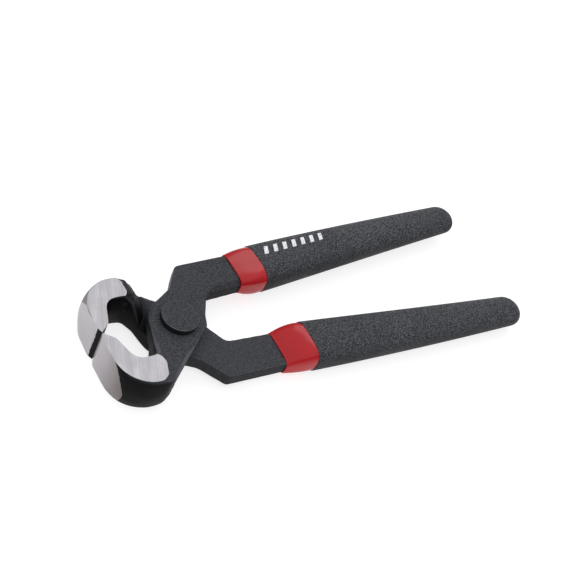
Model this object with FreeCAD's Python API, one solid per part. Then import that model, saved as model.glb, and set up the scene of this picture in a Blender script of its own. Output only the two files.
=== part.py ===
import FreeCAD, Part
import math
import os

# Carpenter's pincers, 200 mm: two forged levers riveted in a half lap, each with a dipped
# two-layer handle. Millimetres. The pivot axis is Z, the jaws point along -X and the handles
# along +X. Z = 0 is the plane that the tool lies on: the flat rear rivet head and the ground
# side faces of both jaws.

V = FreeCAD.Vector

# ---- driving dimensions -------------------------------------------------------------------
JAW_REACH = 30.9          # pivot to the flat front of the jaws
HANDLE_REACH = 169.1      # pivot to the end of the front grip, so the tool is 200 long
REAR_GRIP_SHORTER = 1.0   # the rear grip ends this much before it
JAW_WIDTH = 15.2          # width of the cutting edges, along the pivot
FRONT_JAW_DROP = 23.1     # pivot line to the outside of the front lever's jaw
REAR_JAW_DROP = 21.4      # the same on the rear lever
JAW_BACK_RADIUS = 13.0    # round back of a jaw, seen along the pivot
JAW_BACK_CHAMFER = 0.6    # along that back, on both sides
THROAT_DEPTH = 12.3       # pivot line to the floor of a claw
EDGE_SETBACK = 1.0        # cutting edge behind the flat front
EDGE_REACH = 0.6          # cutting edge past the lever's own middle line
LAP_RADIUS = 11.0         # round cheek about the rivet
FRONT_CHEEK = 5.5         # thickness of the front lever at the lap
REAR_CHEEK = 6.0          # thickness of the rear lever at the lap
ARM_INNER = 9.8           # pivot line to the inner side of an arm
ARM_WIDTH = 14.6          # width of an arm before its collar
ARM_INNER_CHAMFER = 2.2   # along the arm's inner edge, on its cheek side
FRONT_ARM_BACK = 1.0      # how far the front arm thickens past the lap plane
ARM_BACK_CLEAR = 2.5      # and how far from the round cheek that begins
KINK_X = 11.3             # pivot to the outer corner where the arm turns into the handle
NECK_OFFSET = 9.9         # pivot to the straight outer side of the neck
NECK_SLOPE = 37.7         # slope of that side, in degrees
FORGED_EDGE = 1.2         # rounding of forged edges

RIVET_SHANK_RADIUS = 4.2
RIVET_HEAD_RADIUS = 6.9
RIVET_HEAD_HEIGHT = 2.5
RIVET_HEAD_EDGE = 0.35    # rounded rim of the front head

FRONT_COLLAR_START = 33.6  # where the red layer begins on the front handle
REAR_COLLAR_START = 36.2   # and on the rear one, which was dipped less deep
COLLAR_LENGTH = 12.0      # how much of the red layer shows
SLEEVE_WALL = 1.1         # thickness of the red layer
SLEEVE_LIP = 0.7          # and at its thin front edge
GRIP_WIDTH = 19.4         # widest part of the black layer
GRIP_THICKNESS = 13.0
GRIP_END_WIDTH = 14.8
GRIP_END_THICKNESS = 10.8
GRIP_STEP = 0.3           # the black layer stands this far proud of the red one
GRIP_FRONT_ROUND = 0.7    # rounding of its front edge
DOME_INSET = 0.03         # step where the rounded end meets the straight part
HANDLE_RISE = 6.3         # how much the handle's centre line spreads towards its end
HANDLE_LIFT = 1.05         # centre of each handle from the lap plane
TANG_END_WIDTH = 7.0
TANG_END_THICKNESS = 4.5
TANG_SHORTFALL = 18.0     # the tang ends this far inside the grip

REST_OPENING = 2.8        # degrees between the levers' middle lines at rest, nearly shut
MAX_OPENING = 40.0        # and when the tool is wide open

# ---- clearances ---------------------------------------------------------------------------
PIVOT_CLEARANCE = 0.05    # radial, rivet shank in the front lever
FACE_CLEARANCE = 0.05     # between the lap faces, and under the front rivet head
LAP_CLEARANCE = 0.4       # between a round cheek and the other lever's shoulder
STOP_CLEARANCE = 0.5      # between shoulder and arm when the tool is wide open

# ---- derived ------------------------------------------------------------------------------
HALF_JAW = JAW_WIDTH / 2
LAP_PLANE = HALF_JAW                      # height of the lap plane over the rest plane
REAR_HEAD_HEIGHT = HALF_JAW - REAR_CHEEK
ARM_OUTER = ARM_INNER + ARM_WIDTH
ARM_MIDDLE = ARM_INNER + ARM_WIDTH / 2
EDGE_X = EDGE_SETBACK - JAW_REACH
HANDLE_START = (FRONT_COLLAR_START + REAR_COLLAR_START) / 2 + COLLAR_LENGTH
TANG_END = HANDLE_REACH - TANG_SHORTFALL
ARM_SECTION_POWER = 4.5                   # 2 is an ellipse, larger is squarer
GRIP_SECTION_POWER = 3.0                  # at the front of the grip; its end is an ellipse


class Side:
    """What differs between the two levers."""

    def __init__(self, name, cheek, arm_back, jaw_drop, collar_start, hole_radius, turned_over):
        self.name = name
        self.cheek = cheek
        self.arm_back = arm_back
        self.jaw_drop = jaw_drop
        self.collar_start = collar_start
        self.collar_end = collar_start + COLLAR_LENGTH
        self.dome_start = HANDLE_REACH - GRIP_END_WIDTH / 2 - (REAR_GRIP_SHORTER if turned_over else 0)
        self.hole_radius = hole_radius
        self.turned_over = turned_over
        self.arm_end = collar_start + 1.0


FRONT = Side("front", FRONT_CHEEK, -FRONT_ARM_BACK, FRONT_JAW_DROP, FRONT_COLLAR_START,
             RIVET_SHANK_RADIUS + PIVOT_CLEARANCE, False)
REAR = Side("rear", REAR_CHEEK, FACE_CLEARANCE / 2, REAR_JAW_DROP, REAR_COLLAR_START,
            RIVET_SHANK_RADIUS, True)


# ---- helpers ------------------------------------------------------------------------------
def polar(radius, degrees):
    return (radius * math.cos(math.radians(degrees)), radius * math.sin(math.radians(degrees)))


def turned(point, degrees):
    c, s = math.cos(math.radians(degrees)), math.sin(math.radians(degrees))
    return (c * point[0] - s * point[1], s * point[0] + c * point[1])


def along(point, direction, distance):
    return (point[0] + distance * direction[0], point[1] + distance * direction[1])


def crossing(p, p_direction, q, q_direction):
    """The point where two lines cross."""
    det = p_direction[0] * q_direction[1] - p_direction[1] * q_direction[0]
    dx, dy = q[0] - p[0], q[1] - p[1]
    return along(p, p_direction, (dx * q_direction[1] - dy * q_direction[0]) / det)


def outline(corners, z):
    """A closed wire of straight runs, each corner (x, y, radius) rounded by an arc."""
    edges = []
    ends = []
    for i, (x, y, radius) in enumerate(corners):
        here = V(x, y, z)
        if radius == 0:
            ends.append((here, here))
            continue
        before = corners[i - 1]
        after = corners[(i + 1) % len(corners)]
        a = (V(before[0], before[1], z) - here).normalize()
        b = (V(after[0], after[1], z) - here).normalize()
        half = a.getAngle(b) / 2
        reach = radius / math.tan(half)
        middle = here + (a + b).normalize() * (radius / math.sin(half) - radius)
        edges.append(Part.Arc(here + a * reach, middle, here + b * reach).toShape())
        ends.append((here + a * reach, here + b * reach))
    for i, (_, leave) in enumerate(ends):
        arrive = ends[(i + 1) % len(ends)][0]
        if leave.distanceToPoint(arrive) > 1e-6:
            edges.append(Part.makeLine(leave, arrive))
    return Part.Wire(Part.__sortEdges__(edges))


def prism(corners, low, high):
    return Part.Face(outline(corners, low)).extrude(V(0, 0, high - low))


def rounded_top(solid, radius):
    """Round the edges of a prism's upper face."""
    top = solid.BoundBox.ZMax
    rim = [e for e in solid.Edges if abs(e.BoundBox.ZMin - top) < 1e-6]
    return solid.makeFillet(radius, rim)


def section(x, y, z, half_width, half_thickness, power):
    """A closed smooth wire across the handle: an ellipse, or a squarer one."""
    count = 24
    points = []
    for i in range(count):
        a = 2 * math.pi * i / count
        c, s = math.cos(a), math.sin(a)
        grow = (abs(c) ** power + abs(s) ** power) ** (-1 / power)
        points.append(V(x, y + half_width * c * grow, z + half_thickness * s * grow))
    curve = Part.BSplineCurve()
    curve.interpolate(points, PeriodicFlag=True)
    return Part.Wire(curve.toShape())


# ---- outline of a lever, shut, seen on its own cheek --------------------------------------
# Both levers share it. The rear lever is then turned half a turn about X.
CHEEK_UP = 118.0          # where the outline leaves the round cheek for the arm
CHEEK_DOWN = 164.5        # where it leaves the cheek for the jaw
CHEEK_RIGHT = -21.0       # where it touches the cheek below the arm
WAIST_RUN = 10.4          # length of the straight side from the cheek to the waist
NECK_LINE = turned((1, 0), NECK_SLOPE)
NECK_POINT = turned((0, -NECK_OFFSET), NECK_SLOPE)


def tangent(angle):
    """A point on the round cheek and the direction of the tangent there."""
    return polar(LAP_RADIUS, angle), polar(1, angle + 90)


def waist():
    """The hollow corner between the round cheek and the arm's outer side."""
    point, direction = tangent(CHEEK_UP)
    return along(point, direction, -WAIST_RUN)


def kink():
    """The outer corner where the arm turns into the handle."""
    return (KINK_X, ARM_OUTER - 0.4)


def claw_corners():
    """The inside of the claw, from the cutting edge to the neck."""
    neck_corner = crossing(*tangent(CHEEK_DOWN), (0, -THROAT_DEPTH), (1, 0))
    return [
        (EDGE_X, EDGE_REACH, 0),
        (EDGE_X + 3.6, -2.6, 2.5),
        (EDGE_X + 6.6, -THROAT_DEPTH, 4.5),
        (*neck_corner, 3.0),
    ]


def back_corners(side, inset):
    """The outside of the jaw, from the neck to the cutting edge."""
    drop = side.jaw_drop - inset
    neck_point = turned((0, inset - NECK_OFFSET), NECK_SLOPE)
    heel = crossing(neck_point, NECK_LINE, (0, -drop), (1, 0))
    return [
        (*along(neck_point, NECK_LINE, -3.0), 0),
        (*heel, 7.0),
        (-JAW_REACH, -drop, JAW_BACK_RADIUS - inset),
        (-JAW_REACH, -1.6, 1.2),
    ]


def lever_outline(side):
    cheek_corner = crossing(*tangent(CHEEK_UP), *tangent(CHEEK_DOWN))
    low_right = crossing(*tangent(CHEEK_RIGHT), NECK_POINT, NECK_LINE)
    armpit = along(*tangent(CHEEK_RIGHT), 4.2)
    return [
        (side.arm_end, ARM_OUTER, 0),
        (*kink(), 2.2),
        (*waist(), 3.0),
        (*cheek_corner, LAP_RADIUS),
        *reversed(claw_corners()),
        *reversed(back_corners(side, 0.0)[1:]),
        (*low_right, 4.0),
        (*armpit, 5.0),
        (17.4, ARM_INNER - 0.6, 4.0),
        (side.arm_end, ARM_INNER, 0),
    ]


def jaw_outline(side, inset):
    """Jaw and neck only, ending inside the lap."""
    return [
        *claw_corners(),
        (*polar(LAP_RADIUS, CHEEK_DOWN), 0),
        (*polar(LAP_RADIUS / 2, CHEEK_DOWN + 60), 0),
        *back_corners(side, inset),
    ]


# ---- a lever ------------------------------------------------------------------------------
FLAT_END = (-21.5, -16.6)  # centre of the rounded end of a jaw's ground side face
FLAT_END_RADIUS = 6.3
NECK_RAMP = 6.5            # run of the neck's ramp down to the cheek's face
LAP_SIDE_RAMP = 8.0        # run of its ramp down to the lap plane
SHOULDER_RUN = 3.6         # that one starts as a shallow shoulder this long
SHOULDER_DROP = 1.6        # and this much lower at its end
POCKET_FLARE = 2.0         # the room for the other cheek widens by this towards the side face


def thickness_envelope(side):
    """Full width over the jaw, then two ramps: to the cheek's face and to the lap plane."""
    x, y = FLAT_END

    def plan(grow):
        r = FLAT_END_RADIUS + grow
        return [
            (x - 40, y + 40, 0),
            (x - 40, y - r, 0),
            (x + r, y - r, r * 0.98),
            (x + r, y + r + 1.5, r * 0.98),
            (x, y + r + 1.5, 0),
            (x, y + 40, 0),
        ]

    body = Part.makeBox(200, 200, side.cheek, V(-100, -100, 0))
    cheek_ramp = ((side.cheek, NECK_RAMP), (HALF_JAW, 0))
    shoulder = SHOULDER_DROP - HALF_JAW
    lap_ramp = ((0, LAP_SIDE_RAMP), (shoulder, SHOULDER_RUN)), ((shoulder, SHOULDER_RUN), (-HALF_JAW, 0))
    for (low, wide), (high, narrow) in (cheek_ramp, *lap_ramp):
        wires = [outline(plan(wide), low), outline(plan(narrow), high)]
        body = body.fuse(Part.makeLoft(wires, True, True))
    return body


def jaw_block(side):
    """The jaw over its full width, its back edges chamfered."""
    full = HALF_JAW - JAW_BACK_CHAMFER
    block = prism(jaw_outline(side, 0.0), -full, full)
    for z in (1, -1):
        wires = [outline(jaw_outline(side, 0.0), z * full),
                 outline(jaw_outline(side, JAW_BACK_CHAMFER), z * HALF_JAW)]
        block = block.fuse(Part.makeLoft(wires, True, True))
    return block


def lap_pocket():
    """What a lever leaves free beyond its lap plane, for the other one to turn in."""
    high = FACE_CLEARANCE / 2
    low = -HALF_JAW - 1
    radius = LAP_RADIUS + LAP_CLEARANCE
    cone = Part.makeCone(radius + POCKET_FLARE, radius, high - low, V(0, 0, low))
    # the other lever's arm is the mirror image of this one's; opening swings it to the jaw
    flank = [(x, -y) for x, y in (polar(LAP_RADIUS, CHEEK_UP), waist(), kink())]
    stop = [along(turned(p, -MAX_OPENING), (-1, 0), STOP_CLEARANCE) for p in flank]
    corners = [(*p, 0) for p in stop]
    corners += [(stop[-1][0], -60, 0), (60, -60, 0), (60, 0, 0), (0, 0, 0)]
    return cone.fuse(prism(corners, low, high))


def tang(side):
    """The bar inside the handle, tapering from the arm to its end."""
    def bar(x, y, z, width, thickness):
        w, t = width / 2, thickness / 2
        ring = [V(x, y - w, z - t), V(x, y + w, z - t), V(x, y + w, z + t), V(x, y - w, z + t)]
        return Part.makePolygon(ring + ring[:1])

    full = side.cheek - side.arm_back
    y_in, z_in = handle_centre(side.collar_end + 8)
    y_end, z_end = handle_centre(TANG_END)
    return Part.makeLoft([
        bar(side.arm_end, ARM_MIDDLE, (side.cheek + side.arm_back) / 2, ARM_WIDTH, full),
        bar(side.collar_end + 8, y_in, z_in, ARM_WIDTH - 3, min(full, 6.0)),
        bar(TANG_END, y_end, z_end, TANG_END_WIDTH, TANG_END_THICKNESS)], True, True)


def handle_centre(x):
    """Centre of the handle at a distance x from the pivot: it spreads, ever more slowly."""
    t = (x - HANDLE_START) / (HANDLE_REACH - HANDLE_START)
    return (ARM_MIDDLE + 0.9 + HANDLE_RISE * (1.25 * t - 0.25 * t * t), HANDLE_LIFT)


def arm_chamfer(side):
    """The broad chamfer along the arm's inner edge, fading out at the bend."""
    rows = []
    for x, y, size in ((15.4, 7.6, 0.05), (21.0, ARM_INNER - 0.4, ARM_INNER_CHAMFER),
                       (side.arm_end + 1, ARM_INNER, ARM_INNER_CHAMFER)):
        z = side.cheek
        ring = [V(x, y - 4, z - size - 4), V(x, y + size + 4, z + 4), V(x, y - 4, z + 4)]
        rows.append(Part.makePolygon(ring + ring[:1]))
    return Part.makeLoft(rows, True, True)


def lever(side):
    """One forged lever, shut, its cheek facing +Z and its lap face on Z = 0."""
    plate = prism(lever_outline(side), FACE_CLEARANCE / 2, side.cheek)
    body = rounded_top(plate, FORGED_EDGE)
    jaw = jaw_block(side).common(thickness_envelope(side))
    body = body.fuse(jaw.cut(lap_pocket()))
    if side.arm_back < 0:
        under = prism(lever_outline(side), side.arm_back, side.cheek / 2)
        start = LAP_RADIUS + ARM_BACK_CLEAR
        body = body.fuse(under.common(Part.makeBox(60, 60, 60, V(start, 0, -30))))
    body = body.cut(arm_chamfer(side))
    return body.fuse(tang(side))


# ---- handles ------------------------------------------------------------------------------
def collar(side):
    """The part of the red layer that shows: as the arm at its front, as the grip at its rear."""
    y1, z1 = handle_centre(side.collar_end)
    z0 = (side.cheek + side.arm_back) / 2
    w0 = ARM_WIDTH / 2 + SLEEVE_LIP
    t0 = (side.cheek - side.arm_back) / 2 + SLEEVE_LIP
    w1 = GRIP_WIDTH / 2 - GRIP_STEP
    t1 = GRIP_THICKNESS / 2 - GRIP_STEP
    wires = []
    for t in (0.0, 1 / 3, 2 / 3, 1.0):
        ease = t * (2 - t)
        wires.append(section(side.collar_start + t * COLLAR_LENGTH,
                             ARM_MIDDLE + (y1 - ARM_MIDDLE) * t,
                             z0 + (z1 - z0) * ease,
                             w0 + (w1 - w0) * ease,
                             t0 + (t1 - t0) * ease,
                             ARM_SECTION_POWER + (GRIP_SECTION_POWER - ARM_SECTION_POWER) * t))
    return Part.makeLoft(wires, True)


def sleeve_solid(side):
    """The red layer: the collar, then a tube round the tang that the grip hides."""
    rows = []
    first = side.collar_end - 0.5
    last = TANG_END + SLEEVE_WALL
    for i in range(4):
        x = first + (last - first) * i / 3
        t = max(0.0, (x - side.collar_end) / (TANG_END - side.collar_end))
        y, z = handle_centre(x)
        width = ARM_WIDTH - 2 + t * (TANG_END_WIDTH - ARM_WIDTH + 2)
        thickness = 6.6 + t * (TANG_END_THICKNESS - 6.6)
        rows.append(section(x, y, z, width / 2 + SLEEVE_WALL, thickness / 2 + SLEEVE_WALL,
                            ARM_SECTION_POWER))
    return collar(side).fuse(Part.makeLoft(rows, True))


def grip_rows(side):
    """Evenly spaced stations along the black layer: x, half width, half thickness, power."""
    stations = 7
    rows = []
    for i in range(stations):
        t = i / (stations - 1)
        x = side.collar_end + t * (side.dome_start - side.collar_end)
        taper = t ** 1.6
        rows.append((x,
                     (GRIP_WIDTH + (GRIP_END_WIDTH - GRIP_WIDTH) * taper) / 2,
                     (GRIP_THICKNESS + (GRIP_END_THICKNESS - GRIP_THICKNESS) * taper) / 2,
                     2.0 + (GRIP_SECTION_POWER - 2.0) * (1 - t) ** 2))
    return rows


def grip_dome(side):
    """The rounded end of the black layer: an ellipsoid, a hair smaller than the end it closes."""
    half_width = GRIP_END_WIDTH / 2 - DOME_INSET
    half_thickness = GRIP_END_THICKNESS / 2 - DOME_INSET
    stretch = FreeCAD.Matrix()
    stretch.scale(GRIP_END_WIDTH / 2, half_width, half_thickness)
    ball = Part.makeSphere(1.0, V(0, 0, 0), V(1, 0, 0)).transformGeometry(stretch)
    y, z = handle_centre(side.dome_start)
    ball.translate(V(side.dome_start, y, z))
    return ball


def grip_solid(side):
    """The black layer, solid; the sleeve's space is cut from it afterwards."""
    wires = []
    for x, half_w, half_t, power in grip_rows(side):
        y, z = handle_centre(x)
        wires.append(section(x, y, z, half_w, half_t, power))
    body = Part.makeLoft(wires, True)
    front = [e for e in body.Edges if abs(e.BoundBox.XMax - side.collar_end) < 0.01]
    return body.makeFillet(GRIP_FRONT_ROUND, front).fuse(grip_dome(side))


# ---- rivet --------------------------------------------------------------------------------
def rivet():
    """Headed pin: fixed in the rear lever, free in the front one."""
    low = -REAR_CHEEK
    high = FRONT_CHEEK + FACE_CLEARANCE
    shank = Part.makeCylinder(RIVET_SHANK_RADIUS, high - low, V(0, 0, low))
    front = Part.makeCylinder(RIVET_HEAD_RADIUS, RIVET_HEAD_HEIGHT, V(0, 0, high))
    rear = Part.makeCylinder(RIVET_HEAD_RADIUS, REAR_HEAD_HEIGHT, V(0, 0, low - REAR_HEAD_HEIGHT))
    return shank.fuse(rounded_top(front, RIVET_HEAD_EDGE)).fuse(rear)


# ---- assembly -----------------------------------------------------------------------------
def place(shape, side):
    """From shut and cheek up to its place in the tool, open by its half of the rest angle."""
    out = shape.copy()
    swing = REST_OPENING / 2
    if side.turned_over:
        out.rotate(V(0, 0, 0), V(1, 0, 0), 180)
        swing = -swing
    out.rotate(V(0, 0, 0), V(0, 0, 1), swing)
    out.translate(V(0, 0, LAP_PLANE))
    return out


def build():
    nodes = {}
    for side in (FRONT, REAR):
        body = lever(side)
        red = sleeve_solid(side)
        black = grip_solid(side).cut(red).cut(body)
        hole = Part.makeCylinder(side.hole_radius, 4 * HALF_JAW, V(0, 0, -2 * HALF_JAW))
        nodes[side.name + "_lever"] = place(body.cut(hole), side)
        nodes[side.name + "_sleeve"] = place(red.cut(body), side)
        nodes[side.name + "_grip"] = place(black, side)
    pin = rivet()
    pin.translate(V(0, 0, LAP_PLANE))
    nodes["pivot_rivet"] = pin
    return nodes


def main():
    os.makedirs("parts", exist_ok=True)
    for name, shape in build().items():
        shape = shape.removeSplitter()
        print(f"{name:14s} solids {len(shape.Solids)} valid {shape.isValid()}"
              f" volume {shape.Volume:9.1f} mm3")
        shape.exportStep(f"parts/{name}.step")


main()
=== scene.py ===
# %% [markdown]
# # Carpenter's pincers, finished in Blender
# The metalwork was designed and fitted in CAD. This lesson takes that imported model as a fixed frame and
# makes it look like the real tool: raw forged levers with a matte black coat, jaws ground bare on a wheel,
# one rivet, and handles dipped first in glossy red and then in grainy black.
#
# Lengths below are written in millimetres, because that is how the tool is drawn, and turned into metres
# by one factor.

# %% Load the fixed frame
import bpy
import bmesh
import math
import numpy as np
from mathutils import Matrix, Vector


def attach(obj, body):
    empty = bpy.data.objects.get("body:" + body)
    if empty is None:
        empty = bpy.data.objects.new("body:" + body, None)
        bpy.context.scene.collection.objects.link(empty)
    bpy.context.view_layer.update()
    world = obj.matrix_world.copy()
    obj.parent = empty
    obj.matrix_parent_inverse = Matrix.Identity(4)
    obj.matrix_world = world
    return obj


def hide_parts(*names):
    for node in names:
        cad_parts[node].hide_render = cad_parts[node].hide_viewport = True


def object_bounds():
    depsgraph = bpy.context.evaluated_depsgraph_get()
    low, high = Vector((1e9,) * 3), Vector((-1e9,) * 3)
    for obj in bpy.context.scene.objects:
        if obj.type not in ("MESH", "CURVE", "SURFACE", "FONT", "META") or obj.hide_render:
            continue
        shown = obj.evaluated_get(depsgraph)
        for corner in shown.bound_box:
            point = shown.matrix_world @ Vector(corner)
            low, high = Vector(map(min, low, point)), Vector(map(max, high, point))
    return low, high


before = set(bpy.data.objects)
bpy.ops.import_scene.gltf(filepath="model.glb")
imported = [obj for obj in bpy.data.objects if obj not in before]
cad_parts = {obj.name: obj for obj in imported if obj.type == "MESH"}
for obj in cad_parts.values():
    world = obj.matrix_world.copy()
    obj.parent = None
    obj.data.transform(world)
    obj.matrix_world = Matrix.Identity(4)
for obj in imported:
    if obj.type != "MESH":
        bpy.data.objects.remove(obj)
cad_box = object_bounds()
MM = 0.001

# %% [markdown]
# ## Camera and light
# The tool is seen from above its left front corner, with the camera rolled so that the handles climb to
# the right. A camera can be aimed with a constraint, but three turns keep the roll exact: the way it
# faces, how far it looks down, and how far it leans.
#
# The light is a pale room: bright overhead, dimmer near the horizon, with a big soft box behind the tool
# and a small one at its left. Top faces mirror the big one, so they read lighter than the sides. The
# dimmer band near the horizon gives the glossy red collars the dark streak along their bend.

# %% Camera
LAP_HEIGHT = 7.6                      # the plane where the two levers lie on each other
CAMERA_PLACE = (-147.29, -143.15, 226.24 + LAP_HEIGHT)
CAMERA_FACES = 37.23                 # degrees from +X towards +Y
CAMERA_DIVES = 41.608                 # degrees below the horizon
CAMERA_LEANS = 29.929                # degrees about its own line of sight
LENS = 54.25

camera = bpy.data.objects.new("camera", bpy.data.cameras.new("camera"))
bpy.context.scene.collection.objects.link(camera)
turn = (Matrix.Rotation(math.radians(CAMERA_FACES - 90.0), 4, "Z")
        @ Matrix.Rotation(math.radians(90.0 - CAMERA_DIVES), 4, "X")
        @ Matrix.Rotation(math.radians(CAMERA_LEANS), 4, "Z"))
camera.matrix_world = Matrix.Translation(Vector(CAMERA_PLACE) * MM) @ turn
camera.data.sensor_width = 36.0
camera.data.lens = LENS
camera.data.clip_start = 0.01
camera.data.clip_end = 20.0
bpy.context.scene.camera = camera
print("camera at", [round(c, 3) for c in camera.matrix_world.translation])

# %% Room light and soft box
ROOM_TOP = 1.15
ROOM_SIDE = 0.42

world = bpy.data.worlds.new("pale_room")
world.use_nodes = True
bpy.context.scene.world = world
nodes, links = world.node_tree.nodes, world.node_tree.links
way = nodes.new("ShaderNodeTexCoord")
split = nodes.new("ShaderNodeSeparateXYZ")
links.new(way.outputs["Generated"], split.inputs[0])
climb = nodes.new("ShaderNodeMapRange")
climb.interpolation_type = "SMOOTHSTEP"
climb.inputs["From Min"].default_value = 0.45
climb.inputs["From Max"].default_value = 0.80
climb.inputs["To Min"].default_value = ROOM_SIDE
climb.inputs["To Max"].default_value = ROOM_TOP
links.new(split.outputs["Z"], climb.inputs["Value"])
sky = nodes["Background"]
sky.inputs["Color"].default_value = (0.97, 0.98, 1.0, 1.0)
links.new(climb.outputs["Result"], sky.inputs["Strength"])


def soft_box(name, place, size, power, aim=(40.0, 0.0, 0.0)):
    """A square area light, in millimetres, turned to face the tool."""
    lamp = bpy.data.lights.new(name, "AREA")
    lamp.shape = "SQUARE"
    lamp.size = size * MM
    lamp.energy = power
    holder = bpy.data.objects.new(name, lamp)
    bpy.context.scene.collection.objects.link(holder)
    holder.location = Vector(place) * MM
    look = Vector(aim) - Vector(place)
    holder.rotation_euler = look.to_track_quat("-Z", "Y").to_euler()
    return holder


soft_box("back_soft_box", (620.0, 480.0, 640.0), 620.0, 1.9)
soft_box("left_soft_box", (-640.0, 260.0, 150.0), 260.0, 0.55)
bpy.context.scene.view_settings.view_transform = "Standard"
print("room", ROOM_SIDE, "to", ROOM_TOP, "and two soft boxes")

# %% Floor
FLOOR_REACH = 3.0                     # metres from the middle to each side
FLOOR_DROP = 0.2                      # just under the tool, so that the two never share a plane
FLOOR_GREY = 0.38
FLOOR_GLOW = 0.76                     # light of its own, which keeps the shadow faint

floor_mesh = bpy.data.meshes.new("floor")
corners = [(sx * FLOOR_REACH, sy * FLOOR_REACH, 0) for sx, sy in ((-1, -1), (1, -1), (1, 1), (-1, 1))]
floor_mesh.from_pydata(corners, [], [(0, 1, 2, 3)])
floor = bpy.data.objects.new("floor", floor_mesh)
bpy.context.scene.collection.objects.link(floor)
floor.location.z = -FLOOR_DROP * MM
paper = bpy.data.materials.new("pale_floor")
paper.use_nodes = True
paper_inputs = paper.node_tree.nodes["Principled BSDF"].inputs
paper_inputs["Base Color"].default_value = (FLOOR_GREY, FLOOR_GREY, FLOOR_GREY, 1.0)
paper_inputs["Roughness"].default_value = 0.9
paper_inputs["Emission Color"].default_value = (1.0, 1.0, 1.0, 1.0)
paper_inputs["Emission Strength"].default_value = FLOOR_GLOW
floor_mesh.materials.append(paper)
print("floor laid")

# %% [markdown]
# ## Small helpers for node work
# Every finish below is built from nodes. Writing each node out by hand is long, so a few helpers add a
# node with its settings, run one sum, map a value, mix two colours, and make or place a group of nodes.

# %% Node helpers
def add(tree, kind, **settings):
    """A new node. A setting named after an input fills that input; the rest are plain properties."""
    node = tree.nodes.new(kind)
    for key, value in settings.items():
        if hasattr(node, key):
            setattr(node, key, value)
        else:
            node.inputs[key.replace("_", " ")].default_value = value
    return node


def sum_of(tree, what, a, b, clamp=False):
    """One Math node. a and b are sockets or numbers."""
    node = tree.nodes.new("ShaderNodeMath")
    node.operation = what
    node.use_clamp = clamp
    for place, value in enumerate((a, b)):
        if isinstance(value, (int, float)):
            node.inputs[place].default_value = value
        else:
            tree.links.new(value, node.inputs[place])
    return node.outputs[0]


def ramp(tree, value, low, high, to_low=0.0, to_high=1.0):
    """Map a value from one span to another, smoothly, and hold it at the ends."""
    node = tree.nodes.new("ShaderNodeMapRange")
    node.interpolation_type = "SMOOTHSTEP"
    for name, number in (("From Min", low), ("From Max", high), ("To Min", to_low), ("To Max", to_high)):
        if isinstance(number, (int, float)):
            node.inputs[name].default_value = number
        else:
            tree.links.new(number, node.inputs[name])
    tree.links.new(value, node.inputs["Value"])
    return node.outputs["Result"]


def blend_colour(tree, amount, a, b):
    """Mix two colours by a mask. a and b are sockets or colours."""
    node = tree.nodes.new("ShaderNodeMix")
    node.data_type = "RGBA"
    tree.links.new(amount, node.inputs["Factor"])
    for slot, value in (("A", a), ("B", b)):
        socket = [s for s in node.inputs if s.name == slot and s.type == "RGBA"][0]
        if isinstance(value, tuple):
            socket.default_value = (*value, 1.0)
        else:
            tree.links.new(value, socket)
    return [s for s in node.outputs if s.type == "RGBA"][0]


def new_group(name, takes, gives):
    """An empty shader node group with named sockets: {name: (type, default)} in, {name: type} out."""
    tree = bpy.data.node_groups.new(name, "ShaderNodeTree")
    for label, (kind, default) in takes.items():
        socket = tree.interface.new_socket(label, in_out="INPUT", socket_type=kind)
        if default is not None:
            socket.default_value = default
    for label, kind in gives.items():
        tree.interface.new_socket(label, in_out="OUTPUT", socket_type=kind)
    return tree, tree.nodes.new("NodeGroupInput"), tree.nodes.new("NodeGroupOutput")


def place_group(tree, group, **values):
    """Put a node group in a material and fill its inputs."""
    node = tree.nodes.new("ShaderNodeGroup")
    node.node_tree = group
    for key, value in values.items():
        node.inputs[key.replace("_", " ")].default_value = value
    return node


NUMBER, VECTOR, COLOUR = "NodeSocketFloat", "NodeSocketVector", "NodeSocketColor"
print("helpers ready")

# %% [markdown]
# ## Grain: one effect for every matte surface
# The black coat on the steel is a thin, slightly sandy layer. The black dip on the handles is the same
# idea, only deeper, and the red dip has a faint ripple. So all three use one group: noise for the grains,
# small round cells that break them up, and a broad, faint cloud for uneven thickness. It gives a height
# for bumps, a shade for colour and the cloud.

# %% Grain group
grain_group, takes, gives = new_group(
    "sandy_grain",
    {"Place": (VECTOR, None), "Grains per metre": (NUMBER, 1500.0), "Cloud": (NUMBER, 60.0)},
    {"Height": NUMBER, "Shade": NUMBER, "Cloudiness": NUMBER})
coarse = add(grain_group, "ShaderNodeTexNoise", Detail=3.0, Roughness=0.6)
grain_group.links.new(takes.outputs["Place"], coarse.inputs["Vector"])
grain_group.links.new(takes.outputs["Grains per metre"], coarse.inputs["Scale"])
fine = add(grain_group, "ShaderNodeTexVoronoi", feature="F1")
grain_group.links.new(takes.outputs["Place"], fine.inputs["Vector"])
fine_scale = sum_of(grain_group, "MULTIPLY", takes.outputs["Grains per metre"], 1.3)
grain_group.links.new(fine_scale, fine.inputs["Scale"])
cloud = add(grain_group, "ShaderNodeTexNoise", Detail=2.0)
grain_group.links.new(takes.outputs["Place"], cloud.inputs["Vector"])
grain_group.links.new(takes.outputs["Cloud"], cloud.inputs["Scale"])
domes = sum_of(grain_group, "SUBTRACT", 1.0, fine.outputs["Distance"])
height = sum_of(grain_group, "ADD", sum_of(grain_group, "MULTIPLY", coarse.outputs[0], 0.65),
                sum_of(grain_group, "MULTIPLY", domes, 0.35))
grain_group.links.new(height, gives.inputs["Height"])
grain_group.links.new(ramp(grain_group, height, 0.38, 0.72), gives.inputs["Shade"])
grain_group.links.new(ramp(grain_group, cloud.outputs[0], 0.3, 0.7), gives.inputs["Cloudiness"])
print("group", grain_group.name)

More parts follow.
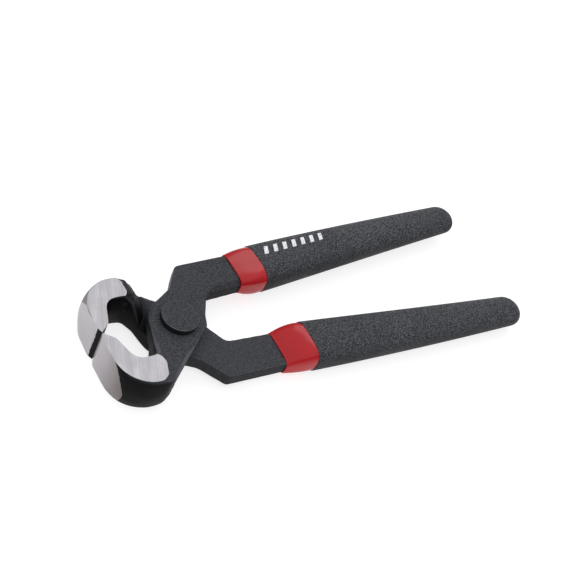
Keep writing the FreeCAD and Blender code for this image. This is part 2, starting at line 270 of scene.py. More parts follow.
# %% [markdown]
# ## Grinding lines
# A grinding wheel leaves fine scratches all in one direction. Stretching a noise about fifty times along
# one axis gives that. The direction is set by turning the coordinates first, so the same group serves the
# side faces and the curved front of the jaws.

# %% Grinding group
LINE_STRETCH = 0.018                  # the noise runs this much slower along a scratch

grinding_group, takes, gives = new_group(
    "grinding_lines",
    {"Place": (VECTOR, None), "Turn": (VECTOR, (0.0, 0.0, 0.0)), "Lines per metre": (NUMBER, 2900.0)},
    {"Height": NUMBER, "Shade": NUMBER, "Patches": NUMBER})
turned_place = add(grinding_group, "ShaderNodeVectorRotate", rotation_type="EULER_XYZ")
grinding_group.links.new(takes.outputs["Place"], turned_place.inputs["Vector"])
grinding_group.links.new(takes.outputs["Turn"], turned_place.inputs["Rotation"])
stretch = add(grinding_group, "ShaderNodeVectorMath", operation="MULTIPLY")
stretch.inputs[1].default_value = (1.0, LINE_STRETCH, 1.0)
grinding_group.links.new(turned_place.outputs[0], stretch.inputs[0])
lines = add(grinding_group, "ShaderNodeTexNoise", Detail=4.0, Roughness=0.75)
grinding_group.links.new(stretch.outputs[0], lines.inputs["Vector"])
grinding_group.links.new(takes.outputs["Lines per metre"], lines.inputs["Scale"])
wide = add(grinding_group, "ShaderNodeTexNoise", Detail=2.0)
grinding_group.links.new(stretch.outputs[0], wide.inputs["Vector"])
grinding_group.links.new(sum_of(grinding_group, "MULTIPLY", takes.outputs["Lines per metre"], 0.12),
                         wide.inputs["Scale"])
patch = add(grinding_group, "ShaderNodeTexNoise", Scale=160.0, Detail=2.0)
grinding_group.links.new(takes.outputs["Place"], patch.inputs["Vector"])
both = sum_of(grinding_group, "ADD", sum_of(grinding_group, "MULTIPLY", lines.outputs[0], 0.6),
              sum_of(grinding_group, "MULTIPLY", wide.outputs[0], 0.4))
grinding_group.links.new(both, gives.inputs["Height"])
grinding_group.links.new(ramp(grinding_group, both, 0.35, 0.65), gives.inputs["Shade"])
grinding_group.links.new(ramp(grinding_group, patch.outputs[0], 0.35, 0.65), gives.inputs["Patches"])
print("group", grinding_group.name)

# %% [markdown]
# ## The forged levers
# A forging is never as crisp as its drawing: the die leaves soft edges, the neck flows into the jaw, and
# the trimmed flash leaves small lumps. Bevels on the CAD mesh would round each edge alike. Instead the
# lever is made as the real one is. A copy of the CAD body gets a little extra stock on the jaw's side
# faces, is turned into an even skin of small squares, and is relaxed, more on the neck and hardly at all
# at the cutting edge. Then the side faces are ground flat by cutting the extra stock away, which leaves
# them crisp.

# %% Sizes of the levers
JAW_WIDTH = 15.2
STOCK = 0.6                           # extra metal on the side faces before grinding
JAW_FROM = -12.0                      # the side faces lie beyond this along the tool
FACE_TOUCH = 0.02                     # a point this near a side face belongs to it
SKIN = 0.28                           # size of the skin's squares
RELAX_STEPS = 70
HALF_OPEN = math.radians(1.4)         # each lever is turned by this at rest
BACK_X = -17.9                        # centre of the jaw's round back
BACK_Y = {"front": -10.1, "rear": -8.4}
BACK_RADIUS = 13.0
LAP_GAP = 0.03                        # each lap face stands this far from the lap plane
BELLY = 1.3                           # the walls swell this much towards the dies' parting line
EDGE_LAND = 1.2                       # strip along the rear lever's edge kept black: partly unground, partly painted shade in the slit


def own_place(points, side):
    """The tool's coordinates, in metres, to the lever's own in mm: shut, its cheek up, jaw on the -Y side."""
    x, y, z = points[:, 0] / MM, points[:, 1] / MM, points[:, 2] / MM - LAP_HEIGHT
    if side == "rear":
        y, z = -y, -z
    c, s = math.cos(-HALF_OPEN), math.sin(-HALF_OPEN)
    return np.stack([c * x - s * y, s * x + c * y, z], axis=1)


def smooth_step(value, low, high):
    t = np.clip((value - low) / (high - low), 0.0, 1.0)
    return t * t * (3.0 - 2.0 * t)


# %% Take a CAD copy, with stock left on for grinding
def with_stock(node, cut_at):
    """A closed copy of a lever without its hidden tang, with extra metal on the jaw's side faces."""
    bm = bmesh.new()
    bm.from_mesh(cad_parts[node].data)
    bmesh.ops.remove_doubles(bm, verts=bm.verts, dist=1e-6)
    everything = bm.verts[:] + bm.edges[:] + bm.faces[:]
    bmesh.ops.bisect_plane(bm, geom=everything, plane_co=(cut_at * MM, 0, 0), plane_no=(1, 0, 0),
                           clear_outer=True)
    rim = [e for e in bm.edges if e.is_boundary]
    bmesh.ops.holes_fill(bm, edges=rim)
    for v in bm.verts:
        if v.co.x > JAW_FROM * MM:
            continue
        if v.co.z > (JAW_WIDTH - FACE_TOUCH) * MM:
            v.co.z += STOCK * MM
        elif v.co.z < FACE_TOUCH * MM:
            v.co.z -= STOCK * MM
    made = bpy.data.meshes.new(node + "_stock")
    bm.to_mesh(made)
    bm.free()
    return made


def even_skin(mesh, size):
    """The mesh as an even skin of squares, by a voxel remesh."""
    worker = bpy.data.objects.new("worker", mesh)
    bpy.context.scene.collection.objects.link(worker)
    remesh = worker.modifiers.new("skin", "REMESH")
    remesh.mode = "VOXEL"
    remesh.voxel_size = size * MM
    graph = bpy.context.evaluated_depsgraph_get()
    made = bpy.data.meshes.new_from_object(worker.evaluated_get(graph))
    bpy.data.objects.remove(worker)
    return made


# %% Relax the skin
def vertex_places(mesh):
    flat = np.empty(len(mesh.vertices) * 3, np.float32)
    mesh.vertices.foreach_get("co", flat)
    return flat.reshape(-1, 3).astype(float)


def vertex_normals(mesh):
    flat = np.empty(len(mesh.vertices) * 3, np.float32)
    mesh.vertices.foreach_get("normal", flat)
    return flat.reshape(-1, 3)


def paint(mesh, name, values):
    """Keep one number per point on the mesh, for a material to read as a mask."""
    mesh.attributes.new(name, "FLOAT", "POINT").data.foreach_set("value", values)


def relax(mesh, weight, steps):
    """Move every point towards the middle of its neighbours, as far as its weight says."""
    pairs = np.empty(len(mesh.edges) * 2, np.int32)
    mesh.edges.foreach_get("vertices", pairs)
    a, b = pairs[0::2], pairs[1::2]
    places = vertex_places(mesh)
    count = np.bincount(a, minlength=len(places)) + np.bincount(b, minlength=len(places))
    for _ in range(steps):
        total = np.empty_like(places)
        for axis in range(3):
            total[:, axis] = (np.bincount(a, places[b, axis], len(places))
                              + np.bincount(b, places[a, axis], len(places)))
        places += (total / count[:, None] - places) * weight[:, None] * 0.5
    return places


def softness(own):
    """How much each point relaxes: the neck most, plate edges some, the cutting edge not at all."""
    x, y, z = own.T
    radius = np.hypot(x, y)
    neck = smooth_step(radius, 11.5, 15.0) * (1.0 - smooth_step(radius, 22.0, 27.0)) * (x < 0)
    tip = smooth_step(np.hypot(x + 30.0, y), 3.0, 8.0)
    near_lap = smooth_step(-z, -0.6, -0.1) * (1.0 - smooth_step(radius, 12.5, 15.0))
    return (0.16 + 0.84 * neck) * tip * (1.0 - 0.85 * near_lap)


# %% Belly, lumps and unevenness
from mathutils import noise


def belly(own, side):
    """Draft of the forging dies, in mm: walls stand out most at mid-thickness, the flat front not at all."""
    x, y, z = own.T
    jaw = smooth_step(-x, 12.0, 17.0) * smooth_step(np.hypot(x + 30.0, y), 7.0, 13.0)
    outer = np.hypot(x - BACK_X, np.minimum(y - BACK_Y[side], 0.0)) > BACK_RADIUS - 2.0
    jaw *= np.where(outer, smooth_step(BACK_Y[side] - y, 1.5, 8.0), 1.0)
    return BELLY * jaw * (1.0 - np.clip(z / LAP_HEIGHT, -1.0, 1.0) ** 2)


def neck_burr(own):
    """Where the trimmed flash left a burr, on the lap side of the neck."""
    x, y, z = own.T
    return np.exp(-((x + 13.5) ** 2 / 14.0 + (y + 18.0) ** 2 / 26.0 + (z + 3.6) ** 2 / 9.0))


def unevenness(own, side):
    """How far each point stands out, in mm: faint hammer marks, and flash lumps on the neck."""
    out = np.zeros(len(own))
    burr = neck_burr(own)
    seed = Vector((3.0, 7.0, 1.0)) if side == "front" else Vector((11.0, 2.0, 5.0))
    for i, (x, y, z) in enumerate(own):
        if x > 12.0 or math.hypot(x + 30.0, y) < 4.5:
            continue
        amount = 0.10 * noise.noise(Vector((x, y, z)) * 0.28 + seed)
        if burr[i] > 0.05:
            amount += 1.1 * burr[i] * noise.noise(Vector((x, y, z)) * 0.62 + seed)
        out[i] = amount
    return out


def lap_face(own, normals):
    """The machined face that lies on the other lever."""
    x, y, z = own.T
    return (np.hypot(x, y) < 18.0) & (np.abs(z) < 0.3) & (np.abs(normals[:, 2]) > 0.6)


# %% Grind the side faces and mark the ground front
def front_ground(own, side):
    """Signed distance in mm: above zero where the wheel bared the front of the jaw."""
    x, y, z = own.T
    level = z + LAP_HEIGHT
    if side == "front":
        lower_rim = -18.6 + 0.072 * (level - 5.0) ** 2
        edge_line = level
    else:
        lower_rim = -10.2 - 2.0 * np.clip(level, 0.0, None) ** 0.72
        edge_line = level - 0.5 + 1.5 * smooth_step(y, -7.5, -3.0)
    cx, cy = BACK_X, BACK_Y[side]
    reach_out = np.where(y > cy, cx - x, np.hypot(x - cx, y - cy)) - (BACK_RADIUS - 1.05)
    reach_out = np.minimum(reach_out, cx - x)
    return np.minimum(np.minimum(y - lower_rim, reach_out), edge_line)


def smooth_coat_and_shade(own, side, normals_up):
    """Where the coat is near black: partly a smoother coat, partly painted shade inside the claw, under the
    jaw and on the lap side of the neck.
    """
    x, y, z = own.T
    inner = smooth_step(-x, 8.5, 13.0) if side == "front" else smooth_step(-x, 3.0, 9.0)
    lower_rim = 0.45 * (1.0 - smooth_step(z + LAP_HEIGHT, 1.0, 4.0)) * smooth_step(-y, 12.0, 16.0)
    return inner * (1.0 - smooth_step(normals_up, 0.25, 0.6)) * (1.0 - lower_rim)


def browner_towards_lower_end(own, side):
    """The front jaw's ground steel is browner and darker towards its lower end."""
    return smooth_step(-own[:, 1], 1.0, 20.0) if side == "front" else np.zeros(len(own))


def scale_and_painted_highlight(own, side, normals_up):
    """Where the coat is paler grey: a painted reflection on the front arm's outer wall, grey scale on the
    rear jaw's back beyond its ground front, and painted highlight specks on the rear neck's burr.
    """
    x, y = own[:, 0], own[:, 1]
    if side == "front":
        # Painted reflection: the front arm's outer wall is made paler.
        wall = smooth_step(y, 11.0, 13.0) * (1.0 - smooth_step(x, 10.5, 12.5))
        return 0.6 * wall * (1.0 - smooth_step(np.abs(normals_up), 0.3, 0.6))
    burr = np.zeros(len(own))
    # Painted highlight specks on the rear neck's burr.
    for i in np.nonzero(neck_burr(own) > 0.05)[0]:
        burr[i] = max(0.0, noise.noise(Vector(own[i]) * 1.1 + Vector((4.0, 9.0, 2.0))))
    on_back = smooth_step(np.hypot(x - BACK_X, y - BACK_Y[side]), BACK_RADIUS - 2.0, BACK_RADIUS - 1.0)
    back = on_back * smooth_step(-x, 20.0, 23.0) * smooth_step(-y, 5.0, 7.0)
    return np.clip(back + 1.6 * burr * neck_burr(own), 0.0, 1.0)


def ground_flat(mesh, side):
    """Cut the stock away at both side faces and close them with crisp flats of material 1."""
    bm = bmesh.new()
    bm.from_mesh(mesh)
    for height, way in ((JAW_WIDTH, 1), (0.0, -1)):
        everything = bm.verts[:] + bm.edges[:] + bm.faces[:]
        cut = bmesh.ops.bisect_plane(bm, geom=everything, plane_co=(0, 0, height * MM),
                                     plane_no=(0, 0, way), clear_outer=True)
        rim = [g for g in cut["geom_cut"] if isinstance(g, bmesh.types.BMEdge)]
        caps = bmesh.ops.holes_fill(bm, edges=rim)["faces"]
        for cap in caps:
            cap.material_index = 1
            cap.smooth = False
            for edge in cap.edges:
                edge.smooth = False
    made = bpy.data.meshes.new(side + "_forging")
    bm.to_mesh(made)
    bm.free()
    return made


# %% Put a lever together
def shape_skin(skin, side):
    """Relax the skin, let it belly, roughen it and level its lap face. What sank is an edge, painted paler
    for wear and as a highlight.
    """
    before = vertex_places(skin)
    own = own_place(before, side)
    after = relax(skin, softness(own), RELAX_STEPS)
    skin.vertices.foreach_set("co", after.ravel())
    skin.update()
    normals = vertex_normals(skin)
    # How far each point sank: an edge, later painted paler, partly as wear and partly as a painted highlight.
    wear_and_highlight = np.clip(-((after - before) * normals).sum(axis=1) / MM, 0.0, 1.0)
    sideways = normals * (1.0 - smooth_step(np.abs(normals[:, 2]), 0.3, 0.7))[:, None]
    rough = normals * unevenness(own, side)[:, None]
    lifted = after + (rough + sideways * belly(own, side)[:, None]) * MM
    lifted[:, 0] = np.maximum(lifted[:, 0], cad_box[0][0])
    away = LAP_GAP if side == "front" else -LAP_GAP
    lifted[lap_face(own, normals), 2] = (LAP_HEIGHT + away) * MM
    skin.vertices.foreach_set("co", lifted.ravel())
    paint(skin, "wear_and_highlight", wear_and_highlight)
    for polygon in skin.polygons:
        polygon.use_smooth = True


def paint_masks(mesh, side):
    """The masks that the finishes read, worked out from each point's place on the lever."""
    own = own_place(vertex_places(mesh), side)
    upward = vertex_normals(mesh)[:, 2] * (1 if side == "front" else -1)
    bared = front_ground(own, side)
    # The edge land stays in the black coat: partly an unground land, partly painted shade that widens the
    # dark slit.
    if side == "rear":
        bared = np.minimum(bared, -own[:, 1] - EDGE_LAND)
    paint(mesh, "front_ground", bared)
    # Near-black coat mask: partly a smoother coat, partly painted shade.
    paint(mesh, "smooth_and_shaded", smooth_coat_and_shade(own, side, upward))
    paint(mesh, "browner_lower_end", browner_towards_lower_end(own, side))
    paint(mesh, "scale_and_highlight", scale_and_painted_highlight(own, side, upward))


def forge(side, cut_at):
    """A whole lever, cut off inside its collar, in place of its CAD node."""
    node = side + "_lever"
    skin = even_skin(with_stock(node, cut_at), SKIN)
    shape_skin(skin, side)
    made = ground_flat(skin, side)
    paint_masks(made, side)
    piece = bpy.data.objects.new(side + "_forged_lever", made)
    bpy.context.scene.collection.objects.link(piece)
    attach(piece, side)
    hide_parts(node)
    print(piece.name, len(made.vertices), "points")
    return piece


front_lever = forge("front", cut_at=36.0)
rear_lever = forge("rear", cut_at=39.0)

# %% [markdown]
# ## Finishes of the levers
# Two metals meet on a lever. The black coat is nearly without shine and a little rough. Its edges are
# paler, partly from wear and partly as a painted highlight. The bare steel is bright and satin, with lines
# from the wheel. On the front of the jaw the two share one surface, so one material holds both and a mask
# says where the wheel reached. A little noise in the mask makes its edge ragged, as it is on a hand-ground
# tool.
#
# The side faces have the same steel with more contrast, and the rivet has the same coat. So steel and
# coat are a group each. A third group says how steep a surface is and paints shade by it: on a black
# coat the walls and the faces turned down are painted darker than the tops. The grips use it too.

# %% Wall shade group
# Painted shade: a mask of 0.55 on walls and faces turned down, fading to nothing on tops.
wall_shade_group, takes, gives = new_group("painted_wall_shade", {}, {"Wall shade": NUMBER})
facing = add(wall_shade_group, "ShaderNodeSeparateXYZ")
wall_shade_group.links.new(add(wall_shade_group, "ShaderNodeTexCoord").outputs["Normal"], facing.inputs[0])
wall_shade_group.links.new(ramp(wall_shade_group, facing.outputs["Z"], 0.05, 0.85, 0.55, 0.0), gives.inputs["Wall shade"])
print("group", wall_shade_group.name)

# %% Ground steel group
steel_group, takes, gives = new_group(
    "ground_steel",
    {"Place": (VECTOR, None), "Turn": (VECTOR, (0.0, 0.0, 0.0)),
     "Dark": (COLOUR, None), "Light": (COLOUR, None)},
    {"Colour": COLOUR, "Roughness": NUMBER, "Height": NUMBER})
ground = place_group(steel_group, grinding_group)
steel_group.links.new(takes.outputs["Place"], ground.inputs["Place"])
steel_group.links.new(takes.outputs["Turn"], ground.inputs["Turn"])
streaked = blend_colour(steel_group, ground.outputs["Shade"], takes.outputs["Dark"], takes.outputs["Light"])
patchy = blend_colour(steel_group, sum_of(steel_group, "MULTIPLY", ground.outputs["Patches"], 0.35),
                      streaked, takes.outputs["Dark"])
steel_group.links.new(patchy, gives.inputs["Colour"])
satin = ramp(steel_group, ground.outputs["Shade"], 0.0, 1.0, 0.36, 0.46)
steel_group.links.new(satin, gives.inputs["Roughness"])
steel_group.links.new(ground.outputs["Height"], gives.inputs["Height"])
print("group", steel_group.name)

# %% Black coat group
# Painted shade: the near black that walls and under sides are mixed towards.
PAINTED_WALL_SHADE = (0.014, 0.0135, 0.0140)

coat_group, takes, gives = new_group(
    "black_coat",
    {"Place": (VECTOR, None), "Wear and highlight": (NUMBER, 0.0), "Smooth": (NUMBER, 0.0)},
    {"Colour": COLOUR, "Roughness": NUMBER, "Height": NUMBER})
grain = place_group(coat_group, grain_group, Grains_per_metre=1300.0, Cloud=70.0)
coat_group.links.new(takes.outputs["Place"], grain.inputs["Place"])
sandy = blend_colour(coat_group, grain.outputs["Shade"], (0.036, 0.0368, 0.0415), (0.088, 0.0900, 0.1005))
clouded = blend_colour(coat_group, sum_of(coat_group, "MULTIPLY", grain.outputs["Cloudiness"], 0.4), sandy,
                       (0.062, 0.0635, 0.0710))
# Painted shade: walls and faces turned down are darkened.
wall_shaded = blend_colour(coat_group, place_group(coat_group, wall_shade_group).outputs["Wall shade"], clouded, PAINTED_WALL_SHADE)
# Near black where the smooth input says: partly a smoother coat, partly painted shade.
smooth_and_shaded_black = blend_colour(coat_group, takes.outputs["Smooth"], wall_shaded, (0.0045, 0.0048, 0.0055))
# Paler edges: partly wear, partly a painted highlight.
edges = sum_of(coat_group, "MULTIPLY", ramp(coat_group, takes.outputs["Wear and highlight"], 0.05, 0.26, 0.0, 0.5),
               ramp(coat_group, takes.outputs["Smooth"], 0.0, 1.0, 1.0, 0.25))
edge_wear_and_highlight = blend_colour(coat_group, edges, smooth_and_shaded_black, (0.150, 0.152, 0.162))
matte = ramp(coat_group, takes.outputs["Smooth"], 0.0, 1.0, 0.65, 0.5)
coat_group.links.new(edge_wear_and_highlight, gives.inputs["Colour"])
coat_group.links.new(matte, gives.inputs["Roughness"])
coat_group.links.new(grain.outputs["Height"], gives.inputs["Height"])
print("group", coat_group.name)


# %% Start and end of every finish
def finished(name):
    """A new material, its tree, its shader and the piece's own coordinates."""
    made = bpy.data.materials.new(name)
    made.use_nodes = True
    tree = made.node_tree
    place = add(tree, "ShaderNodeTexCoord").outputs["Object"]
    return made, tree, tree.nodes["Principled BSDF"], place


def roughen(tree, shader, height, depth, strength):
    """Bump the surface by a height; depth in mm."""
    bump = add(tree, "ShaderNodeBump", Distance=depth * MM, Strength=strength)
    tree.links.new(height, bump.inputs["Height"])
    tree.links.new(bump.outputs[0], shader.inputs["Normal"])


COAT_SHINE = 0.06                     # specular level: the coat is nearly without shine
COAT_BUMP = {"depth": 0.1, "strength": 0.55}

# %% Where the wheel reached
forged, tree, shader, place = finished("black_forging_ground_front")
# smooth is the near-black mask: partly a smoother coat, partly painted shade in the claw, under the jaw and
# on the neck.
wear_and_highlight, bared, smooth, scale_and_highlight, lower_end_brown = (
    add(tree, "ShaderNodeAttribute", attribute_name=name).outputs["Fac"]
    for name in ("wear_and_highlight", "front_ground", "smooth_and_shaded", "scale_and_highlight", "browner_lower_end"))
ragged = add(tree, "ShaderNodeTexNoise", Scale=900.0, Detail=3.0)
tree.links.new(place, ragged.inputs["Vector"])
jitter = sum_of(tree, "MULTIPLY", sum_of(tree, "SUBTRACT", ragged.outputs[0], 0.5), 0.9)
mask = ramp(tree, sum_of(tree, "ADD", bared, jitter), -0.06, 0.06)
unground = sum_of(tree, "SUBTRACT", 1.0, mask)

# %% Steel and coat on one surface
steel = place_group(tree, steel_group, Turn=(0.0, 0.0, 0.25), Dark=(0.40, 0.378, 0.398, 1.0),
                    Light=(0.49, 0.468, 0.495, 1.0))
coat = place_group(tree, coat_group)
tree.links.new(place, steel.inputs["Place"])
for socket, source in (("Place", place), ("Wear and highlight", wear_and_highlight), ("Smooth", smooth)):
    tree.links.new(source, coat.inputs[socket])
# Paler grey: painted reflection and highlight specks, and grey scale on the rear jaw's back.
scale_and_highlight_mixed = blend_colour(tree, sum_of(tree, "MULTIPLY", scale_and_highlight, 0.9), coat.outputs["Colour"],
                      (0.235, 0.225, 0.235))
# Browner and darker towards the front jaw's lower end.
browner_steel = blend_colour(tree, lower_end_brown, steel.outputs["Colour"], (0.170, 0.145, 0.140))
tree.links.new(blend_colour(tree, mask, scale_and_highlight_mixed, browner_steel), shader.inputs["Base Color"])
mixed_roughness = sum_of(tree, "ADD", sum_of(tree, "MULTIPLY", mask, steel.outputs["Roughness"]),
                         sum_of(tree, "MULTIPLY", unground, coat.outputs["Roughness"]))
tree.links.new(mixed_roughness, shader.inputs["Roughness"])
tree.links.new(mask, shader.inputs["Metallic"])
shader.inputs["Specular IOR Level"].default_value = COAT_SHINE
scratches = sum_of(tree, "MULTIPLY", sum_of(tree, "MULTIPLY", mask, steel.outputs["Height"]), 0.25)
sand = sum_of(tree, "MULTIPLY", unground, coat.outputs["Height"])
roughen(tree, shader, sum_of(tree, "ADD", scratches, sand), **COAT_BUMP)
print("finish", forged.name)

# %% Ground side faces
bare, tree, shader, place = finished("ground_side_steel")
steel = place_group(tree, steel_group, Turn=(0.0, 0.0, 0.35), Dark=(0.255, 0.245, 0.258, 1.0),
                    Light=(0.485, 0.468, 0.490, 1.0))
tree.links.new(place, steel.inputs["Place"])
tree.links.new(steel.outputs["Colour"], shader.inputs["Base Color"])
tree.links.new(steel.outputs["Roughness"], shader.inputs["Roughness"])
shader.inputs["Metallic"].default_value = 1.0
roughen(tree, shader, steel.outputs["Height"], depth=0.03, strength=0.5)

for lever in (front_lever, rear_lever):
    lever.data.materials.append(forged)
    lever.data.materials.append(bare)
print("lever finishes", forged.name, bare.name)

# %% [markdown]
# ## The rivet
# The rivet's head is turned and then coated with the levers. Its CAD shape is already right, so it only
# gets the black coat. Its rim gets a painted highlight, paler like a worn edge, and its wall gets painted
# shade, smooth and near black. Both masks come from the way the surface faces.

# %% Rivet coat
rivet_coat, tree, shader, place = finished("black_rivet")
facing = add(tree, "ShaderNodeSeparateXYZ")
tree.links.new(add(tree, "ShaderNodeTexCoord").outputs["Normal"], facing.inputs[0])
# Painted highlight: the rounded rim is made paler through the coat's edge input.
rim = sum_of(tree, "MULTIPLY", ramp(tree, facing.outputs["Z"], 0.15, 0.4),
             ramp(tree, facing.outputs["Z"], 0.90, 0.99, 1.0, 0.0))
# Painted shade: the wall and the faces turned down are made smooth and near black.
wall = ramp(tree, facing.outputs["Z"], -0.2, 0.3, 1.0, 0.0)
coat = place_group(tree, coat_group)
for socket, source in (("Place", place), ("Wear and highlight", sum_of(tree, "MULTIPLY", rim, 0.25)), ("Smooth", wall)):
    tree.links.new(source, coat.inputs[socket])
tree.links.new(coat.outputs["Colour"], shader.inputs["Base Color"])
tree.links.new(coat.outputs["Roughness"], shader.inputs["Roughness"])
shader.inputs["Specular IOR Level"].default_value = COAT_SHINE
roughen(tree, shader, coat.outputs["Height"], **COAT_BUMP)


def refinish(node, material):
    """Give a carried-over CAD node its finish."""
    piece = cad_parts[node]
    piece.data.materials.clear()
    piece.data.materials.append(material)
    return piece


refinish("pivot_rivet", rivet_coat)
print("rivet coated")

# %% [markdown]
# ## The red collars
# The first dip leaves a skin of glossy red. It follows the arm's flat section at its front lip and swells
# towards the round grip behind. A tube lofted through rings gives that change of section, and extra rings
# close together at the front round the lip over, which is where the thin line of light sits.

# %% Collar sizes
ARM_MIDDLE = 17.1                     # from the pivot line to the middle of an arm
ARM_WIDTH = 14.6
ARM_POWER = 4.5                       # squareness of the arm's section: 2 is an ellipse
FRONT_COLLAR_START = 33.6
REAR_COLLAR_START = 36.2
COLLAR_LENGTH = 12.0
COLLAR_LIP = 0.7                      # thickness of the red skin at its front
LIP_ROUND = 0.4                       # the lip is round over this length
TUCK = 0.5                            # the collar runs this far on under the grip
HANDLE_START = (FRONT_COLLAR_START + REAR_COLLAR_START) / 2 + COLLAR_LENGTH
HANDLE_REACH = 169.1
HANDLE_RISE = 6.3                     # the handle's middle spreads by this towards its end
HANDLE_LIFT = 1.05                    # and lies this far from the lap plane
GRIP_WIDTH = 19.4
GRIP_THICKNESS = 13.0
GRIP_STEP = 0.3                       # the grip stands this far proud of the collar
GRIP_POWER = 3.0
RING_POINTS = 96
RING_STEPS = 24


def handle_middle(x):
    """Centre of the handle across the tool, and its height from the lap plane."""
    t = (x - HANDLE_START) / (HANDLE_REACH - HANDLE_START)
    return ARM_MIDDLE + 0.9 + HANDLE_RISE * (1.25 * t - 0.25 * t * t), HANDLE_LIFT


# %% Collar rings
def to_row(x, y, z, side):
    """A lever's own coordinates, in mm, to the tool's, in metres."""
    if side == "rear":
        y, z = -y, -z
    turn = HALF_OPEN if side == "front" else -HALF_OPEN
    c, s = math.cos(turn), math.sin(turn)
    return Vector((c * x - s * y, s * x + c * y, z + LAP_HEIGHT)) * MM


def ring(x, y, z, half_w, half_t, power, side):
    """One rounded-rectangle ring across the handle."""
    points = []
    for i in range(RING_POINTS):
        a = 2 * math.pi * i / RING_POINTS
        c, s = math.cos(a), math.sin(a)
        grow = (abs(c) ** power + abs(s) ** power) ** (-1 / power)
        points.append(to_row(x, y + half_w * c * grow, z + half_t * s * grow, side))
    return points


def collar_rings(side, start, cheek, arm_back):
    """Rings from the rounded lip back to where the collar dives under the grip."""
    y1, z1 = handle_middle(start + COLLAR_LENGTH)
    z0 = (cheek + arm_back) / 2
    w0, t0 = ARM_WIDTH / 2 + COLLAR_LIP, (cheek - arm_back) / 2 + COLLAR_LIP
    w1, t1 = GRIP_WIDTH / 2 - GRIP_STEP, GRIP_THICKNESS / 2 - GRIP_STEP
    rings = []
    for inset, shift in ((0.75, 0.30), (0.50, 0.06), (0.28, 0.0), (0.12, 0.05), (0.03, 0.18)):
        rings.append(ring(start + shift, ARM_MIDDLE, z0, w0 - inset, t0 - inset, ARM_POWER, side))
    for i in range(RING_STEPS + 1):
        t = i / RING_STEPS
        ease = t * (2 - t)
        x = start + LIP_ROUND + t * (COLLAR_LENGTH - LIP_ROUND + TUCK)
        rings.append(ring(x, ARM_MIDDLE + (y1 - ARM_MIDDLE) * t, z0 + (z1 - z0) * ease,
                          w0 + (w1 - w0) * ease, t0 + (t1 - t0) * ease,
                          ARM_POWER + (GRIP_POWER - ARM_POWER) * t, side))
    return rings


def collar(side, rings):
    """The rings skinned and closed, in place of the CAD sleeve."""
    bm = bmesh.new()
    loops = [[bm.verts.new(p) for p in points] for points in rings]
    for a, b in zip(loops, loops[1:]):
        for i in range(RING_POINTS):
            j = (i + 1) % RING_POINTS
            bm.faces.new((a[i], a[j], b[j], b[i]))
    bm.faces.new(loops[0])
    bm.faces.new(loops[-1])
    bmesh.ops.recalc_face_normals(bm, faces=bm.faces)
    for face in bm.faces:
        face.smooth = len(face.verts) == 4
    mesh = bpy.data.meshes.new(side + "_collar")
    bm.to_mesh(mesh)
    bm.free()
    piece = bpy.data.objects.new(side + "_red_collar", mesh)
    bpy.context.scene.collection.objects.link(piece)
    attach(piece, side)
    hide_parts(side + "_sleeve")
    print(piece.name, len(mesh.vertices), "points")
    return piece


front_rings = collar_rings("front", FRONT_COLLAR_START, cheek=5.5, arm_back=-1.0)
rear_rings = collar_rings("rear", REAR_COLLAR_START, cheek=6.0, arm_back=0.025)
front_collar = collar("front", front_rings)
rear_collar = collar("rear", rear_rings)

# %% Red dip
red, tree, shader, place = finished("glossy_red_dip")
ripple = place_group(tree, grain_group, Grains_per_metre=420.0, Cloud=45.0)
tree.links.new(place, ripple.inputs["Place"])
colour = blend_colour(tree, ripple.outputs["Cloudiness"], (0.38, 0.004, 0.007), (0.46, 0.007, 0.012))
tree.links.new(colour, shader.inputs["Base Color"])
tree.links.new(ramp(tree, ripple.outputs["Shade"], 0.0, 1.0, 0.16, 0.24), shader.inputs["Roughness"])
shader.inputs["Specular IOR Level"].default_value = 0.3
roughen(tree, shader, ripple.outputs["Height"], depth=0.04, strength=0.35)
for piece in (front_collar, rear_collar):
    piece.data.materials.append(red)
print("collars red")

# %% [markdown]
# ## The black grips
# The outer dip is a thick black layer with a gritty skin. Its CAD shape is right. The skin comes from the
# grain group, with more contrast and deeper bumps than on the steel. The front grip also carries a plain
# printed mark: a short row of slanted white bars, with gaps where the grit breaks them up.

# %% Printed bars
MARK_START, MARK_END = 48.3, 83.8     # along the handle
MARK_LOW, MARK_HIGH = 20.4, 24.4      # across it, at the start
MARK_SLOPE = 0.085                    # the row climbs with the handle
MARK_PITCH = 5.0                      # from one bar to the next
MARK_SLANT = 0.45
MARK_EDGE = 0.15                      # the ends of the bars fade over this
MARK_FLOOR = 9.5                      # the ink keeps to the upper side, above this height


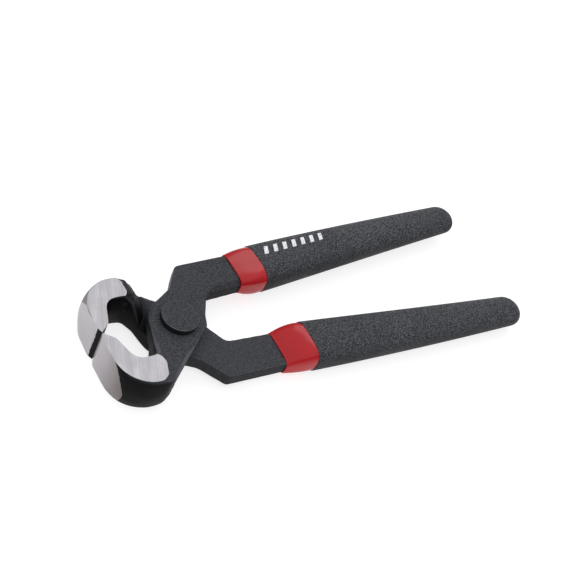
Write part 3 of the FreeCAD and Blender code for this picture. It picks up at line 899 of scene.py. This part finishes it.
def printed_bars(tree, place, grit):
    """A mask of slanted bars on the upper side of the front grip."""
    split = tree.nodes.new("ShaderNodeSeparateXYZ")
    tree.links.new(place, split.inputs[0])
    along = sum_of(tree, "MULTIPLY", split.outputs["X"], 1.0 / MM)
    across = sum_of(tree, "SUBTRACT", sum_of(tree, "MULTIPLY", split.outputs["Y"], 1.0 / MM),
                    sum_of(tree, "MULTIPLY", sum_of(tree, "SUBTRACT", along, MARK_START), MARK_SLOPE))
    slanted = sum_of(tree, "SUBTRACT", along, sum_of(tree, "MULTIPLY", across, MARK_SLANT))
    phase = sum_of(tree, "FRACT", sum_of(tree, "DIVIDE", slanted, MARK_PITCH), 0.0)
    bar = sum_of(tree, "MULTIPLY", ramp(tree, phase, 0.03, 0.06), ramp(tree, phase, 0.44, 0.47, 1.0, 0.0))
    window = sum_of(tree, "MULTIPLY", ramp(tree, along, MARK_START, MARK_START + MARK_EDGE),
                    ramp(tree, along, MARK_END - MARK_EDGE, MARK_END, 1.0, 0.0))
    band = sum_of(tree, "MULTIPLY", ramp(tree, across, MARK_LOW, MARK_LOW + MARK_EDGE),
                  ramp(tree, across, MARK_HIGH - MARK_EDGE, MARK_HIGH, 1.0, 0.0))
    upper = ramp(tree, split.outputs["Z"], MARK_FLOOR * MM, (MARK_FLOOR + 0.5) * MM)
    ink = ramp(tree, grit, 0.30, 0.42)
    mask = sum_of(tree, "MULTIPLY", sum_of(tree, "MULTIPLY", bar, window),
                  sum_of(tree, "MULTIPLY", band, upper))
    return sum_of(tree, "MULTIPLY", mask, ink)


# %% Grip finish
def grip_finish(name, marked):
    """The gritty dip, with or without the printed bars."""
    made, tree, shader, place = finished(name)
    grit = place_group(tree, grain_group, Grains_per_metre=1600.0, Cloud=40.0)
    tree.links.new(place, grit.inputs["Place"])
    sandy = blend_colour(tree, grit.outputs["Shade"], (0.010, 0.0105, 0.0120), (0.150, 0.154, 0.171))
    colour = blend_colour(tree, sum_of(tree, "MULTIPLY", grit.outputs["Cloudiness"], 0.3), sandy,
                          (0.055, 0.0565, 0.0640))
    # Painted shade: the grip's walls and under side are darkened.
    walls = place_group(tree, wall_shade_group).outputs["Wall shade"]
    colour = blend_colour(tree, walls, colour, PAINTED_WALL_SHADE)
    if marked:
        colour = blend_colour(tree, printed_bars(tree, place, grit.outputs["Height"]), colour,
                              (0.86, 0.86, 0.87))
    tree.links.new(colour, shader.inputs["Base Color"])
    tree.links.new(ramp(tree, grit.outputs["Cloudiness"], 0.0, 1.0, 0.62, 0.74), shader.inputs["Roughness"])
    shader.inputs["Specular IOR Level"].default_value = 0.2
    roughen(tree, shader, grit.outputs["Height"], depth=0.28, strength=0.8)
    return made


refinish("front_grip", grip_finish("gritty_black_marked", True))
refinish("rear_grip", grip_finish("gritty_black", False))
print("grips finished")

# %% [markdown]
# ## The last look at the sizes
# The CAD model's box, taken before the finish, is printed.

# %% Sizes
print("cad", [[round(c, 4) for c in p] for p in cad_box])
